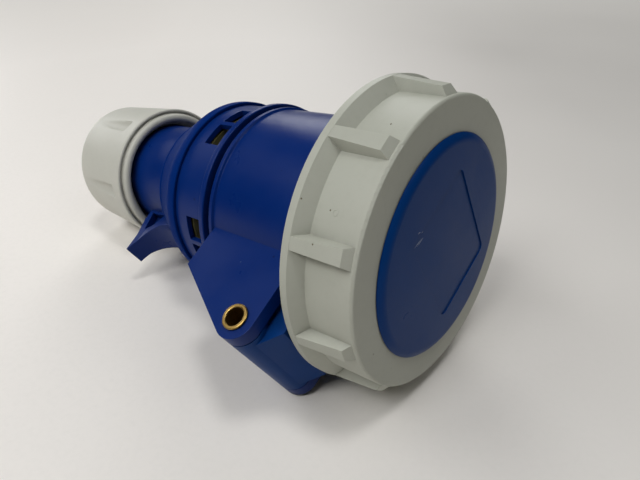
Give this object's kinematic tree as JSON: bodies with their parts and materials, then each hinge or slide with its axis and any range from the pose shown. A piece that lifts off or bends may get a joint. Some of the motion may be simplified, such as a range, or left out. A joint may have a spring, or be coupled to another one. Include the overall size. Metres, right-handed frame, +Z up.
{
  "type": "cable coupler",
  "caption": "Cable coupler with a hinged lid closed by a twist-lock ring, a socket insert, a twist-on rear housing with a grip wing and a fluted gland nut.",
  "frame": {"origin": "centre of the front housing's mouth, on the coupler's axis", "axes": "+X along the coupler's axis towards the lid, level; the axis itself rises a few degrees from +X, as the coupler lies on its ring, gland nut and hinge; +Z up; the hinge is on the -Y side"},
  "size_m": [0.1892, 0.1112, 0.0981],
  "materials": {
    "blue_plastic": "satin moulded",
    "grey_plastic": "satin moulded",
    "white_plastic": "satin moulded",
    "insert_plastic": "matte moulded",
    "brass": "dull turned",
    "steel": "plated",
    "olive_rubber": "matte",
    "black_rubber": "matte"
  },
  "bodies": {
    "front_body": {"front_housing": "blue_plastic", "contact_insert": "insert_plastic", "insert_back": "insert_plastic", "insert_screw": "steel", "contact_line": "brass", "contact_neutral": "brass", "contact_earth": "brass", "contact_springs": "steel", "terminal_screws": "steel", "hinge_rivet": "brass", "hinge_spring": "steel", "housing_seal": "olive_rubber"},
    "lid_body": {"lid": "blue_plastic", "lid_seal": "black_rubber"},
    "ring_body": {"bayonet_ring": "grey_plastic"},
    "rear_body": {"rear_housing": "blue_plastic", "gland_seal": "black_rubber"},
    "clamp_body": {"clamp_cage": "grey_plastic", "thrust_ring": "white_plastic"},
    "nut_body": {"gland_nut": "grey_plastic"}
  },
  "joints": [
    {"name": "lid_hinge", "type": "hinge", "parent": "front_body", "child": "lid_body", "pos_m": [-0.02136, -0.04535, -0.02736], "axis": [0.1205, 0.4705, -0.8741], "range_deg": [0, 120], "stiffness_Nm_per_rad": 0.15, "springref_deg": -60.16, "deforming": ["hinge_spring"]},
    {"name": "ring_twist", "type": "hinge", "parent": "lid_body", "child": "ring_body", "pos_m": [0, 0, 0], "axis": [-0.9906, 0, -0.1366], "range_deg": [0, 45]},
    {"name": "housing_twist", "type": "hinge", "parent": "front_body", "child": "rear_body", "pos_m": [0, 0, 0], "axis": [-0.9906, 0, -0.1366], "range_deg": [0, 30]},
    {"name": "clamp_slide", "type": "slide", "parent": "rear_body", "child": "clamp_body", "axis": [0.9906, 0, 0.1366], "range_m": [-0.002, 0.004]},
    {"name": "nut_turn", "type": "hinge", "parent": "clamp_body", "child": "nut_body", "pos_m": [-0.12581, 0, -0.01735], "axis": [0.9906, 0, 0.1366], "range_deg": [-360, 720]}
  ],
  "couplings": [
    {"joint": "clamp_slide", "follows": "nut_turn", "m_per_rad": 0.00031831}
  ]
}
